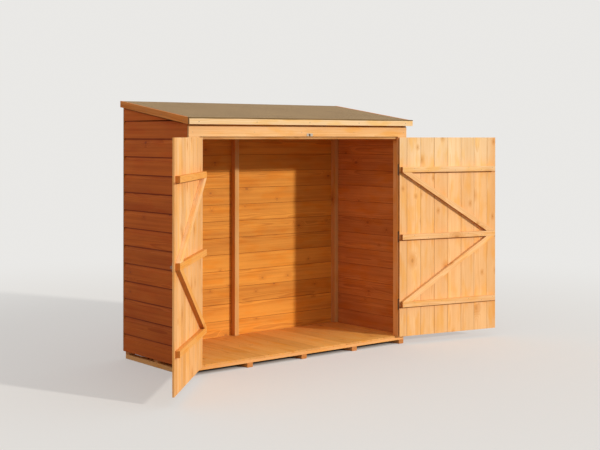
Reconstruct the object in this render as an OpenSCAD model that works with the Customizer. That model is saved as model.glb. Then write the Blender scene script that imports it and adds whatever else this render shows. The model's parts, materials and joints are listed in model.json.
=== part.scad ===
// Bike shelter: a low timber wall store with a pent roof and a pair of ledged and braced doors.
// Millimetres. X runs along the front, Y from front to back, Z up.
// The origin is on the ground, under the middle of the floor.

/* [Walls] */
// Width over the outside of the side boards
wall_w = 1830; // [1400:10:2400]
// Depth from the front of the frame to the outside of the back boards
wall_d = 762; // [600:2:1200]
// Height of the roof's underside at the front of the frame
front_h = 1566; // [1400:1:1900]
// Rise of the roof from the front of the frame to the outside of the back boards
roof_rise = 111; // [60:1:260]
// Thickness of the wall boards
wall_board_t = 12; // [8:1:20]
// Height of the lower edge of the wall boards above the ground
wall_foot_z = 50; // [35:1:58]
// Height of the header board over the doors, at the front of the frame
header_h = 107; // [80:1:200]
// Width of the corner trims beside the doors
trim_w = 80; // [74:1:120]

/* [Frame] */
// Depth of the frame timbers, from the boards into the shelter
frame_d = 44; // [30:1:60]
// Width of the two front posts
post_w = 60; // [40:1:90]
// Width of the back studs and of the rails under the roof
stud_w = 34; // [25:1:50]
// Height of the rails and the rafter under the roof
rafter_h = 44; // [30:1:60]
// Distance from the middle of the shelter to the middle of the back stud
back_stud_x = -36; // [-300:1:300]

/* [Floor] */
// Height of the bearers that lie on the ground
bearer_h = 29; // [20:1:60]
// Width of a bearer
bearer_w = 44; // [30:1:70]
// Height of the floor joists on the bearers
joist_h = 19; // [15:1:50]
// Width of a floor joist
joist_w = 44; // [30:1:70]
// Thickness of the floor boards
floor_board_t = 12; // [8:1:22]

/* [Roof] */
// Thickness of the roof boards
roof_board_t = 12; // [8:1:20]
// Thickness of the roofing felt
felt_t = 3; // [2:0.5:5]
// Overhang of the roof past the front of the frame
roof_over_front = 58; // [40:1:120]
// Overhang of the roof past each side wall
roof_over_side = 22; // [22:1:80]
// Overhang of the roof past the back wall
roof_over_back = 3; // [3:1:60]
// Thickness of the fascia boards
fascia_t = 16; // [10:1:18]
// Height of the fascia boards
fascia_h = 41; // [30:1:60]

/* [Doors] */
// Thickness of the door boards
door_board_t = 11; // [8:1:20]
// Working gap round each door leaf
door_gap = 5; // [5:0.5:8]
// Lap of the door leaves over the lintel
door_lap = 12; // [8:1:16]
// Drop of the door leaves below the floor's surface
door_drop = 2; // [0:1:10]
// Angle that the left leaf stands open
left_open = 134.5; // [0:0.5:175]
// Angle that the right leaf stands open
right_open = 168.5; // [0:0.5:175]
// Thickness of the ledges and braces
ledge_t = 28; // [12:1:28]
// Height of a ledge
ledge_w = 38; // [30:1:90]
// Distance from a leaf's end to the middle of the outer ledge
ledge_from_end = 226; // [120:1:320]
// Distance from a leaf's hinged edge to the ledges
ledge_hinge_inset = 8; // [8:1:60]
// Distance from a leaf's free edge to the ledges
ledge_free_inset = 22; // [20:1:80]
// Length of the seat that a brace has on a ledge
brace_seat = 74; // [50:1:140]

/* [Hinges and bolts] */
// Thickness of the hinge plates
hinge_t = 2; // [1.5:0.5:3]
// Radius of a hinge pin
pin_r = 2; // [2:0.5:4]
// Wall of a knuckle round its pin
knuckle_wall = 1.5; // [1.5:0.5:3]
// Length of a knuckle along the pin
knuckle_l = 24; // [16:1:40]
// Length of a hinge strap from the pin
strap_l = 300; // [200:5:400]
// Width of a strap at its knuckle
strap_w = 34; // [24:1:44]
// Width of a strap at its tip
strap_tip_w = 16; // [10:1:22]
// Width of a hinge plate on the corner trim
plate_w = 36; // [24:1:40]
// Radius of a bolt
bolt_r = 4; // [3:0.5:6]
// Length of a bolt
bolt_l = 150; // [110:5:220]
// Width of a bolt's back plate
bolt_plate_w = 32; // [26:1:44]
// Width of the keep that a bolt shoots into
keep_w = 50; // [32:1:60]
// Height of the keep that a bolt shoots into
keep_h = 18; // [14:1:30]
// Distance from the middle of the front to the top bolt
bolt_x = 31; // [30:1:90]

/* [Hidden] */
$fn = 48;

// Colours of the finished pieces
wood_front = "sandybrown";
wood_side = "sienna";
wood_floor = "peru";
felt_grey = "rosybrown";
zinc = "silver";

// The two ends of the footprint
front_y = -wall_d / 2;
back_y = wall_d / 2;
back_in_y = back_y - wall_board_t;
// Inside face of the side boards, and half of the opening between the posts and between the trims
side_in_x = wall_w / 2 - wall_board_t;
post_x = side_in_x - post_w;
opening_x = wall_w / 2 - trim_w;
// Floor levels
joist_z = bearer_h;
floor_board_z = joist_z + joist_h;
floor_z = floor_board_z + floor_board_t;
bearer_gaps = 4;
joist_gaps = 2;
// The header and the corner trims are as thick as a leaf and its gap, so all are flush
facing_t = door_board_t + door_gap;
// Door leaf: its height, and its width from the hinged edge to the meeting edge
header_z = front_h - header_h;
door_foot_z = floor_z - door_drop;
door_top_z = header_z - door_gap;
door_h = door_top_z - door_foot_z;
door_w = opening_x - door_gap - door_gap / 2;
lintel_z = door_top_z - door_lap;
// Hinge pins stand in the middle of the gap, with the knuckles on the flush faces
knuckle_r = pin_r + knuckle_wall;
pin_clear = 0.1;
pin_x = opening_x - door_gap / 2;
pin_y = front_y - facing_t - knuckle_r;
knuckle_gap = 1;
plate_h = 3 * knuckle_l + 2 * knuckle_gap;
pin_end = 1.5;
strap_tip_r = strap_tip_w / 2;
// Roof slope, and the roof's layers measured straight up
roof_slope = roof_rise / wall_d;
roof_pitch = atan(roof_slope);
board_rise = roof_board_t / cos(roof_pitch);
felt_rise = felt_t / cos(roof_pitch);
fascia_rise = fascia_h / cos(roof_pitch);
roof_front_y = front_y - roof_over_front;
roof_back_y = back_y + roof_over_back;
roof_side_x = wall_w / 2 + roof_over_side;
// Ledge heights on the leaf, from its foot
ledge_mid = [ledge_from_end, door_h / 2, door_h - ledge_from_end];
ledge_l = door_w - ledge_hinge_inset - ledge_free_inset;
// Bolts are drawn back, so that their tips stop short of the leaf's edge. Each runs in three
// loops on a plate, and its keep is one more loop on a plate, past the gap.
bolt_back = 4;
bolt_plate_t = 2;
bolt_plate_end = 6;
bolt_clear = 0.5;
loop_wall = 1.5;
loop_r = bolt_r + bolt_clear + loop_wall;
loop_l = 12;
bolt_out = bolt_plate_t + loop_r;
bolt_knob_r = 5;
bolt_knob_l = 16;
keep_rise = 3;

// Height of the roof boards' underside at a depth
function roof_z(y) = front_h + roof_slope * (y - front_y);

// A box between two opposite corners
module block(low, high) {
    translate(low) cube(high - low);
}

// An outline in depth and height, carried along the width from x0 to x1
module along_width(x0, x1, outline) {
    translate([x0, 0, 0]) rotate([90, 0, 90]) linear_extrude(x1 - x0) polygon(outline);
}

// A timber that stands between y0 and y1 and is cut to the roof's slope, drop below the roof boards
module under_roof(x0, x1, y0, y1, z0, drop = 0) {
    along_width(x0, x1, [[y0, z0], [y1, z0], [y1, roof_z(y1) - drop], [y0, roof_z(y0) - drop]]);
}

// A timber that follows the roof's slope, between two depths below the roof boards
module along_slope(x0, x1, y0, y1, top_drop, height) {
    along_width(x0, x1, [
        [y0, roof_z(y0) - top_drop - height], [y1, roof_z(y1) - top_drop - height],
        [y1, roof_z(y1) - top_drop], [y0, roof_z(y0) - top_drop]
    ]);
}

// Copies what is made for the right side onto the left
module left_side() {
    mirror([1, 0, 0]) children();
}

// Floor

module floor_bearers() {
    pitch = (2 * side_in_x - bearer_w) / bearer_gaps;
    color(wood_floor)
    for (i = [0:bearer_gaps]) {
        x = -side_in_x + i * pitch;
        block([x, front_y, 0], [x + bearer_w, back_in_y, bearer_h]);
    }
}

module floor_joists() {
    pitch = (back_in_y - front_y - joist_w) / joist_gaps;
    color(wood_floor)
    for (i = [0:joist_gaps]) {
        y = front_y + i * pitch;
        block([-side_in_x, y, joist_z], [side_in_x, y + joist_w, floor_board_z]);
    }
}

module floor_boards() {
    color(wood_floor)
    block([-side_in_x, front_y, floor_board_z], [side_in_x, back_in_y, floor_z]);
}

// Walls

module side_wall() {
    color(wood_side) under_roof(side_in_x, wall_w / 2, front_y, back_in_y, wall_foot_z);
}

module left_wall() {
    left_side() side_wall();
}

module right_wall() {
    side_wall();
}

module back_wall() {
    color(wood_side) under_roof(-wall_w / 2, wall_w / 2, back_in_y, back_y, wall_foot_z);
}

// Frame

module front_post() {
    color(wood_front) under_roof(post_x, side_in_x, front_y, front_y + frame_d, floor_z);
}

module left_front_post() {
    left_side() front_post();
}

module right_front_post() {
    front_post();
}

module back_corner_stud() {
    color(wood_front) under_roof(side_in_x - stud_w, side_in_x, back_in_y - frame_d, back_in_y, floor_z);
}

module left_back_stud() {
    left_side() back_corner_stud();
}

module right_back_stud() {
    back_corner_stud();
}

module middle_back_stud() {
    color(wood_front)
    under_roof(back_stud_x - stud_w / 2, back_stud_x + stud_w / 2,
               back_in_y - frame_d, back_in_y, floor_z, rafter_h + stud_w);
}

module door_lintel() {
    color(wood_front) under_roof(-post_x, post_x, front_y, front_y + frame_d, lintel_z, rafter_h);
}

module back_top_rail() {
    x = side_in_x - stud_w;
    color(wood_front) along_slope(-x, x, back_in_y - frame_d, back_in_y, rafter_h, stud_w);
}

module side_top_rail() {
    color(wood_front)
    along_slope(side_in_x - stud_w, side_in_x, front_y + frame_d, back_in_y - frame_d, 0, rafter_h);
}

module left_top_rail() {
    left_side() side_top_rail();
}

module right_top_rail() {
    side_top_rail();
}

module centre_rafter() {
    color(wood_front)
    along_slope(back_stud_x - stud_w / 2, back_stud_x + stud_w / 2, front_y, back_in_y, 0, rafter_h);
}

// Facing boards on the front of the frame

module header_board() {
    color(wood_front) under_roof(-wall_w / 2, wall_w / 2, front_y - facing_t, front_y, header_z);
}

module corner_trim() {
    color(wood_front)
    block([opening_x, front_y - facing_t, wall_foot_z], [wall_w / 2, front_y, header_z]);
}

module left_corner_trim() {
    left_side() corner_trim();
}

module right_corner_trim() {
    corner_trim();
}

// Roof

module roof_boards() {
    edge = fascia_t + felt_t;
    x = roof_side_x - edge;
    color(wood_floor)
    along_slope(-x, x, roof_front_y + edge, roof_back_y - felt_t, -board_rise, board_rise);
}

// The felt lies on the boards and is turned down over their edges
module roof_felt() {
    x = roof_side_x - fascia_t;
    y0 = roof_front_y + fascia_t;
    color(felt_grey)
    difference() {
        along_slope(-x, x, y0, roof_back_y, -board_rise - felt_rise, board_rise + felt_rise);
        along_slope(felt_t - x, x - felt_t, y0 + felt_t, roof_back_y - felt_t, -board_rise, 2 * board_rise);
    }
}

module front_fascia() {
    top = roof_z(roof_front_y + fascia_t) + board_rise + felt_rise;
    color(wood_front)
    block([-roof_side_x, roof_front_y, top - fascia_h], [roof_side_x, roof_front_y + fascia_t, top]);
}

module side_fascia() {
    color(wood_side)
    along_slope(roof_side_x - fascia_t, roof_side_x, roof_front_y + fascia_t, roof_back_y,
                -board_rise - felt_rise, fascia_rise);
}

module left_fascia() {
    left_side() side_fascia();
}

module right_fascia() {
    side_fascia();
}

// Hinges: each is a plate with two knuckles and a pin on the trim, and a strap with one knuckle
// on the leaf. They are centred on the ledges.

module hinge_plate() {
    room = knuckle_l / 2 + knuckle_gap;
    difference() {
        union() {
            block([pin_x, front_y - facing_t - hinge_t, -plate_h / 2],
                  [pin_x + plate_w, front_y - facing_t, plate_h / 2]);
            translate([pin_x, pin_y, -plate_h / 2]) cylinder(h = plate_h, r = knuckle_r);
        }
        // Room for the strap's knuckle between the two
        block([pin_x - 2 * knuckle_r, pin_y - 2 * knuckle_r, -room],
              [pin_x + knuckle_r + knuckle_gap, pin_y + 2 * knuckle_r, room]);
    }
    translate([pin_x, pin_y, -plate_h / 2 - pin_end]) cylinder(h = plate_h + 2 * pin_end, r = pin_r);
}

module hinge_plates() {
    color(zinc)
    for (z = ledge_mid) translate([0, 0, door_foot_z + z]) hinge_plate();
}

module left_hinge_plates() {
    left_side() hinge_plates();
}

module right_hinge_plates() {
    hinge_plates();
}

// Doors. A leaf is drawn shut, with its pin on the Z axis, its boards running towards +X and
// its inner face towards +Y, and is then set at its hinge and swung open.

leaf_edge = door_gap / 2;
leaf_out = knuckle_r;
leaf_in = leaf_out + door_board_t;

module on_left_hinge() {
    translate([-pin_x, pin_y, door_foot_z]) rotate([0, 0, -left_open]) children();
}

module on_right_hinge() {
    translate([pin_x, pin_y, door_foot_z]) rotate([0, 0, right_open]) left_side() children();
}

module leaf_boards() {
    color(wood_front) block([leaf_edge, leaf_out, 0], [leaf_edge + door_w, leaf_in, door_h]);
}

module leaf_ledge(i) {
    x = leaf_edge + ledge_hinge_inset;
    z = ledge_mid[i];
    color(wood_front)
    block([x, leaf_in, z - ledge_w / 2], [x + ledge_l, leaf_in + ledge_t, z + ledge_w / 2]);
}

// A brace seats on two ledges. It runs from the hinged end at z0 to the free end at z1.
module leaf_brace(z0, z1) {
    x0 = leaf_edge + ledge_hinge_inset;
    x1 = x0 + ledge_l;
    color(wood_front)
    translate([0, leaf_in + ledge_t, 0]) rotate([90, 0, 0]) linear_extrude(ledge_t)
    polygon([[x0, z0], [x0 + brace_seat, z0], [x1, z1], [x1 - brace_seat, z1]]);
}

module leaf_upper_brace() {
    leaf_brace(ledge_mid[2] - ledge_w / 2, ledge_mid[1] + ledge_w / 2);
}

module leaf_lower_brace() {
    leaf_brace(ledge_mid[0] + ledge_w / 2, ledge_mid[1] - ledge_w / 2);
}

// A strap swells from its knuckle, tapers to a round tip and lies on the leaf's outer face
module leaf_strap() {
    neck_x = 2 * knuckle_r;
    shoulder_x = neck_x + strap_w / 2;
    tip_x = strap_l - strap_tip_r;
    difference() {
        union() {
            translate([0, leaf_out, 0]) rotate([90, 0, 0]) linear_extrude(hinge_t) {
                polygon([
                    [0, -knuckle_l / 2], [neck_x, -knuckle_l / 2],
                    [shoulder_x, -strap_w / 2], [tip_x, -strap_tip_r],
                    [tip_x, strap_tip_r], [shoulder_x, strap_w / 2],
                    [neck_x, knuckle_l / 2], [0, knuckle_l / 2]
                ]);
                translate([tip_x, 0]) circle(strap_tip_r);
            }
            translate([0, 0, -knuckle_l / 2]) cylinder(h = knuckle_l, r = knuckle_r);
        }
        translate([0, 0, -knuckle_l]) cylinder(h = 2 * knuckle_l, r = pin_r + pin_clear);
    }
}

module leaf_straps() {
    color(zinc)
    for (z = ledge_mid) translate([0, 0, z]) leaf_strap();
}

module left_door_boards() {
    on_left_hinge() leaf_boards();
}

module left_top_ledge() {
    on_left_hinge() leaf_ledge(2);
}

module left_middle_ledge() {
    on_left_hinge() leaf_ledge(1);
}

module left_bottom_ledge() {
    on_left_hinge() leaf_ledge(0);
}

module left_upper_brace() {
    on_left_hinge() leaf_upper_brace();
}

module left_lower_brace() {
    on_left_hinge() leaf_lower_brace();
}

module left_hinge_straps() {
    on_left_hinge() leaf_straps();
}

module right_door_boards() {
    on_right_hinge() leaf_boards();
}

module right_top_ledge() {
    on_right_hinge() leaf_ledge(2);
}

module right_middle_ledge() {
    on_right_hinge() leaf_ledge(1);
}

module right_bottom_ledge() {
    on_right_hinge() leaf_ledge(0);
}

module right_upper_brace() {
    on_right_hinge() leaf_upper_brace();
}

module right_lower_brace() {
    on_right_hinge() leaf_lower_brace();
}

module right_hinge_straps() {
    on_right_hinge() leaf_straps();
}

// Bolts and keeps. Each is drawn on a face that looks towards -Y, shooting towards +Z.

// The outline of a loop that stands on a plate, round the bolt's axis
module loop_outline() {
    circle(loop_r);
    translate([-loop_r, 0]) square([2 * loop_r, bolt_out - bolt_plate_t]);
}

module bolt_loop() {
    translate([0, -bolt_out, 0]) linear_extrude(loop_l) loop_outline();
}

module keep() {
    difference() {
        union() {
            block([-keep_w / 2, -bolt_plate_t, 0], [keep_w / 2, 0, keep_h]);
            translate([0, 0, (keep_h - loop_l) / 2]) bolt_loop();
        }
        translate([0, -bolt_out, -keep_h]) cylinder(h = 3 * keep_h, r = bolt_r + bolt_clear);
    }
}

// The bolt's tip is at the origin, and its loops are shared out along the plate
module slide_bolt() {
    plate_foot = -bolt_l - bolt_plate_end;
    plate_top = -bolt_plate_end;
    loop_pitch = (plate_top - plate_foot - loop_l - 2 * bolt_plate_end) / 2;
    block([-bolt_plate_w / 2, -bolt_plate_t, plate_foot], [bolt_plate_w / 2, 0, plate_top]);
    for (i = [0:2]) {
        translate([0, 0, plate_foot + bolt_plate_end + i * loop_pitch]) bolt_loop();
    }
    translate([0, -bolt_out, -bolt_l]) cylinder(h = bolt_l, r = bolt_r);
    translate([0, -bolt_out, -bolt_l + loop_pitch / 2 + loop_l])
    rotate([90, 0, 0]) cylinder(h = bolt_knob_l, r = bolt_knob_r);
}

module header_keep() {
    color(zinc) translate([bolt_x, front_y - facing_t, header_z + keep_rise]) keep();
}

module left_keep() {
    on_left_hinge() color(zinc)
    translate([leaf_edge + door_w - keep_rise, leaf_out, ledge_mid[1]]) rotate([0, -90, 0]) keep();
}

module top_bolt() {
    on_right_hinge() color(zinc) translate([pin_x - bolt_x, leaf_out, door_h - bolt_back]) slide_bolt();
}

module middle_bolt() {
    on_right_hinge() color(zinc)
    translate([leaf_edge + door_w - bolt_back, leaf_out, ledge_mid[1]]) rotate([0, 90, 0]) slide_bolt();
}

floor_bearers();
floor_joists();
floor_boards();
left_wall();
right_wall();
back_wall();
left_front_post();
right_front_post();
left_back_stud();
right_back_stud();
middle_back_stud();
door_lintel();
back_top_rail();
left_top_rail();
right_top_rail();
centre_rafter();
header_board();
left_corner_trim();
right_corner_trim();
roof_boards();
roof_felt();
front_fascia();
left_fascia();
right_fascia();
left_hinge_plates();
right_hinge_plates();
header_keep();
left_door_boards();
left_top_ledge();
left_middle_ledge();
left_bottom_ledge();
left_upper_brace();
left_lower_brace();
left_hinge_straps();
left_keep();
right_door_boards();
right_top_ledge();
right_middle_ledge();
right_bottom_ledge();
right_upper_brace();
right_lower_brace();
right_hinge_straps();
top_bolt();
middle_bolt();
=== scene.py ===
"""Looks of the bike shelter: boards, timbers, felt, ironmongery, finishes, light and camera."""

import json
import math
from itertools import pairwise

import bpy
import numpy as np
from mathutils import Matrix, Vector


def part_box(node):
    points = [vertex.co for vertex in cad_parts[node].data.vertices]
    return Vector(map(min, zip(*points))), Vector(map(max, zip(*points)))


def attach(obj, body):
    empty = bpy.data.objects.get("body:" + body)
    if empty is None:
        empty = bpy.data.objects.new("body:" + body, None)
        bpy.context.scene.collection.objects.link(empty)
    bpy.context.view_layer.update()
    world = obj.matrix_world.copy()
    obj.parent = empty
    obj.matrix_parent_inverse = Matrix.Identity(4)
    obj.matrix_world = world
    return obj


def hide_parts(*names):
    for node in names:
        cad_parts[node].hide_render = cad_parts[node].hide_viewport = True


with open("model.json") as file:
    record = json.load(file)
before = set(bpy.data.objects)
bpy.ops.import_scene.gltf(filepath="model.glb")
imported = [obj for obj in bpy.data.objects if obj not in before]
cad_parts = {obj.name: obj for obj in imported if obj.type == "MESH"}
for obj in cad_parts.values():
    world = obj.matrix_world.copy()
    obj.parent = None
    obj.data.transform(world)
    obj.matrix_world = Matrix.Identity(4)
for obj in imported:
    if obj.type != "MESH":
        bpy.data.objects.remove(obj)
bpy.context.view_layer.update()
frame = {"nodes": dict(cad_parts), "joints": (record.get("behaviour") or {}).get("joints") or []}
chance = np.random.default_rng(41)
scene = bpy.context.scene

# Camera -------------------------------

FRAME_W, FRAME_H = 600, 450
EYE = (-4.72932, -6.20274, 1.46046)
EYE_TURN, EYE_ROLL = math.radians(-39.2703), math.radians(-0.0504)
FOCAL_PX, CENTRE_PX = 1142.338, (308.055, 136.425)

lens = bpy.data.cameras.new("camera")
lens.sensor_width = 36.0
lens.lens = FOCAL_PX / FRAME_W * lens.sensor_width
lens.shift_x = (FRAME_W / 2 - CENTRE_PX[0]) / FRAME_W
lens.shift_y = (CENTRE_PX[1] - FRAME_H / 2) / FRAME_W
lens.clip_start, lens.clip_end = 0.1, 100.0
camera = bpy.data.objects.new("camera", lens)
scene.collection.objects.link(camera)
camera.location = EYE
camera.rotation_mode = "XYZ"
camera.rotation_euler = (math.pi / 2, EYE_ROLL, EYE_TURN)
scene.camera = camera

# Sizes from the CAD nodes, in metres --


def low(node):
    """Lowest corner of a CAD node."""
    return np.array(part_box(node)[0])


def high(node):
    """Highest corner of a CAD node."""
    return np.array(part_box(node)[1])


SIDE_X, SIDE_IN = high("right_wall")[0], low("right_wall")[0]
FRONT_Y = low("right_wall")[1]
BACK_Y, BACK_IN = high("back_wall")[1], low("back_wall")[1]
WALL_T = SIDE_X - SIDE_IN
WALL_FOOT = low("right_wall")[2]
FLOOR_TOP = high("floor_boards")[2]
HEADER_Z = low("header_board")[2]
FACE_Y = low("header_board")[1]
OPENING_X = low("right_corner_trim")[0]
PINS = {j["child"]: np.array(j["pos_m"]) for j in frame["joints"]}
OPEN = {j["child"]: math.radians(-j["range_deg"][0]) for j in frame["joints"]}
# A leaf's sizes run from its pin: away from it, in through the leaf, and up from the leaf's foot
LEAF_EDGE, LEAF_OUT, LEAF_T = 0.0025, 0.0035, 0.011
LEAF_IN = LEAF_OUT + LEAF_T
LEAF_FOOT = low("left_door_boards")[2]
LEAF_H = high("left_door_boards")[2] - LEAF_FOOT
LEAF_GAPS = 0.0075
LEAF_W = OPENING_X - LEAF_GAPS
LEDGE_T, LEDGE_W, LEDGE_INSET = 0.028, 0.038, 0.226
LEDGE_MID = (LEDGE_INSET, LEAF_H / 2, LEAF_H - LEDGE_INSET)
LEDGE_A0, LEDGE_A1 = 0.0105, 0.808
BRACE_SEAT = 0.074
FRONT_TOP, ROOF_FALL, ROOF_RUN = 1.566, 0.111, 0.762
SLOPE = ROOF_FALL / ROOF_RUN
PITCH = math.atan(SLOPE)


def roof_z(y):
    """Height of the roof boards' underside at a depth: the front height plus slope times run."""
    return FRONT_TOP + SLOPE * (y - FRONT_Y)


# Places -------------------------------

AXES = X, Y, Z = np.eye(3)


class Place:
    """An origin and three directions, which carry a part's own sizes into the shared frame."""

    def __init__(self, origin, first, second, third):
        self.origin = np.array(origin, float)
        self.axes = np.array([first, second, third], float)
        self.mirrored = np.linalg.det(self.axes) < 0

    def __call__(self, points):
        return self.origin + np.asarray(points, float) @ self.axes


def leaf_place(body):
    """A leaf's own directions at rest: away from its pin, in through the leaf, and up."""
    side = 1 if body == "left_door" else -1
    turn = -side * OPEN[body]
    along = side * np.array([math.cos(turn), math.sin(turn), 0])
    inward = np.array([-math.sin(turn), math.cos(turn), 0])
    pin = PINS[body]
    return Place((pin[0], pin[1], LEAF_FOOT), along, inward, Z)


# Shapes -------------------------------

SOFT_PLANED, SOFT_SAWN = 0.0012, 0.0018  # radius of an arris


def unit(v):
    """Vectors scaled to length one."""
    return v / np.linalg.norm(v, axis=-1, keepdims=True)


def anticlockwise(outline):
    """The outline with its corners in anticlockwise order, by the sign of its enclosed area."""
    p = np.asarray(outline, float)
    q = np.roll(p, -1, 0)
    return p if (p[:, 0] * q[:, 1] - q[:, 0] * p[:, 1]).sum() > 0 else p[::-1]


def ring_quads(rings, count):
    """Faces that join each ring's neighbours to the next ring's."""
    i, r = np.arange(count), np.arange(rings - 1)[:, None]
    j = (i + 1) % count
    quads = np.stack([r * count + i, r * count + j, (r + 1) * count + j, (r + 1) * count + i], -1)
    return quads.reshape(-1, 4).tolist()


def rings_to_faces(rings, count, flip):
    """The faces between rings, and one flat face that closes each end."""
    i = np.arange(count)
    faces = ring_quads(rings, count) + [i[::-1].tolist(), (i + (rings - 1) * count).tolist()]
    return [f[::-1] for f in faces] if flip else faces


def block(outline, depth, soft, grime=0.0):
    """A convex outline carried through a depth, with every arris rounded: a point is the outline's
    corner drawn in by the radius, plus the radius times the sine of the ring's angle along the
    corner's arc. The ring's height is the radius times one less the angle's cosine. Grime with
    painted shade is one number, or one for each of the six rings."""
    v = anticlockwise(outline)
    edge = unit(np.roll(v, -1, 0) - v)
    after = np.stack([edge[:, 1], -edge[:, 0]], 1)
    before = np.roll(after, 1, 0)
    centre = v - soft * (before + after) / (1 + (before * after).sum(1))[:, None]
    arc = np.stack([before, unit(before + after), after], 1)
    angle = np.radians([24, 56, 90])
    rise = soft * (math.cos(angle[0]) - np.cos(angle)) / math.cos(angle[0])
    reach = soft * np.sin(angle)
    heights = np.concatenate([rise, depth - rise[::-1]])
    reaches = np.concatenate([reach, reach[::-1]])
    flat = centre[None, :, None] + reaches[:, None, None, None] * arc[None]
    flat = flat.reshape(len(heights), -1, 2)
    tall = np.broadcast_to(heights[:, None, None], flat.shape[:2] + (1,))
    points = np.concatenate([flat, tall], 2).reshape(-1, 3)
    dirt_and_shade = np.repeat(np.broadcast_to(grime, len(heights)), flat.shape[1])
    return points, len(heights), flat.shape[1], dirt_and_shade


def moulding(profile, depths, dirt_and_shade=0.0):
    """A closed profile carried straight through some depths, with the grime and painted shade of
    each corner. On its inner face that is at least the dirt and painted shade given for each depth."""
    p = anticlockwise(profile)
    rings = [np.column_stack([p[:, :2], np.full(len(p), d)]) for d in depths]
    inner = p[:, 1] > 0.9 * p[:, 1].max()
    band = np.broadcast_to(dirt_and_shade, len(depths))[:, None] * inner
    return np.concatenate(rings), len(depths), len(p), np.maximum(p[:, 2], band).ravel()


COVE_H, LAP_H, LAP_GAP = 0.026, 0.008, 0.0015
LAP_SHARE, LAP_SLACK, NOSE = 0.58, 0.0003, 0.0008


def lap_profile(cover, thick, first=False, last=False, spread=0.0022, inner=0.3):
    """Section of a lapped board: width, depth from its outer face, and grime with painted shade.
    The face turns in to a hollow below the joint, as deep as a quarter sine wave, and ends in a
    tongue that the next board laps. Painted shade with grime lies in the hollow's top and under the
    lap, where the lap shades it, and, as far as spread, beside it."""
    half = thick * LAP_SHARE
    foot = [(0, NOSE, 1), (NOSE * 0.3, NOSE * 0.3, 1), (NOSE, 0, 0.6), (spread + NOSE, 0, 0)]
    if last:
        head = [(cover - spread, 0, 0), (cover - NOSE, 0, 0.1), (cover, NOSE, 0.1)]
        head += [(cover, thick, 0.1), (cover - spread, thick, 0)]
    else:
        s = np.linspace(0, 1, 9)
        depth = half * np.sin(s * math.pi / 2)
        grime = np.clip((s - 0.68) / 0.2, 0, 1)
        hollow = np.column_stack([cover - COVE_H * (1 - s), depth, grime])
        tongue = cover + LAP_H
        head = hollow.tolist() + [(tongue, half, 1), (tongue, thick, inner)]
        head += [(tongue - spread, thick, 0)]
    if first:
        heel = [(0, thick, 0)]
    else:
        rebate = LAP_H + LAP_GAP
        heel = [(rebate + spread, thick, 0), (rebate, thick, inner)]
        heel += [(rebate, half - LAP_SLACK, 1), (0, half - LAP_SLACK, 1)]
    return foot + head + heel


# Pieces -------------------------------


class Stock:
    """Boards of one finish, gathered into one piece. Each board keeps its own grain: a run along it
    from a random start, and its place across and through it from a pith beside or below it."""

    def __init__(self):
        self.points, self.faces, self.ends = [], [], []
        self.traits = {"grain": [], "tone": [], "grime": []}
        self.count = 0

    def add(self, shape, place, run="depth", lean=0.0, tone=None):
        """Adds one board and returns the stock. Its grain runs along the depth, or along the
        outline's first direction, turned by lean."""
        points, rings, around, grime = shape
        u, v, w = points.T
        if run == "depth":
            own = np.stack([w, u, v], 1)
        else:
            c, s = math.cos(lean), math.sin(lean)
            own = np.stack([u * c + v * s, v * c - u * s, w], 1)
        size = own.max(0) - own.min(0)
        wide = 1 if size[1] >= size[2] else 2
        if wide == 2:
            own = own[:, [0, 2, 1]]
            size = size[[0, 2, 1]]
        pith = own.mean(0)
        pith[1] += chance.uniform(-0.7, 0.7) * size[1]
        pith[2] += chance.choice([-1, 1]) * chance.uniform(0.02, 0.09)
        pith[0] = -chance.uniform(1, 60)
        faces = rings_to_faces(rings, around, place.mirrored)
        self.points.append(place(points))
        self.faces += [[k + self.count for k in f] for f in faces]
        value = chance.uniform(-1, 1) if tone is None else tone
        own_traits = (own - pith, np.full(len(points), value), grime)
        for values, more in zip(self.traits.values(), own_traits):
            values.append(more)
        self.ends.append(self.end_faces(own, faces))
        self.count += len(points)
        return self

    @staticmethod
    def end_faces(own, faces):
        """One for a face that looks along the grain and shows the rings' ends, and else nought."""
        marks = []
        for f in faces:
            p = own[f]
            n = np.cross(p - p.mean(0), np.roll(p, -1, 0) - p.mean(0)).sum(0)
            marks.append(float(abs(n[0]) > 0.7 * np.linalg.norm(n)))
        return np.array(marks)


SHARP = math.radians(16)


def to_object(name, points, faces, finish, smooth=SHARP):
    """A mesh object at the origin, with flat faces kept flat and gentle curves smooth."""
    mesh = bpy.data.meshes.new(name)
    mesh.from_pydata(np.asarray(points, float).tolist(), [], faces)
    mesh.polygons.foreach_set("use_smooth", np.ones(len(mesh.polygons), bool))
    mesh.set_sharp_from_angle(angle=smooth)
    mesh.materials.append(finish)
    mesh.update()
    thing = bpy.data.objects.new(name, mesh)
    scene.collection.objects.link(thing)
    return thing


def mark(thing, name, values, domain="POINT"):
    """Writes a number or a vector on each of a piece's points or faces."""
    values = np.asarray(values, np.float32)
    kind, field = ("FLOAT", "value") if values.ndim == 1 else ("FLOAT_VECTOR", "vector")
    layer = thing.data.attributes.new(name, kind, domain)
    layer.data.foreach_set(field, values.ravel())


def timber(name, stock, finish, body, slot, *nodes, weather_and_light=None):
    """Turns a stock into a piece that rides on a body and stands for CAD nodes. The weather
    argument says how much each point takes of the tint for weathering and painted light."""
    points = np.concatenate(stock.points)
    thing = to_object(name, points, stock.faces, finish)
    for trait, values in stock.traits.items():
        mark(thing, trait, np.concatenate(values))
    if weather_and_light:
        mark(thing, "weathered", weather_and_light(points))
    mark(thing, "end_grain", np.concatenate(stock.ends), "FACE")
    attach(thing, body)
    if nodes:
        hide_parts(*nodes)


def rect(u0, v0, u1, v1):
    """Four corners of a rectangle."""
    return [(u0, v0), (u1, v0), (u1, v1), (u0, v1)]


# Finishes -----------------------------


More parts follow.
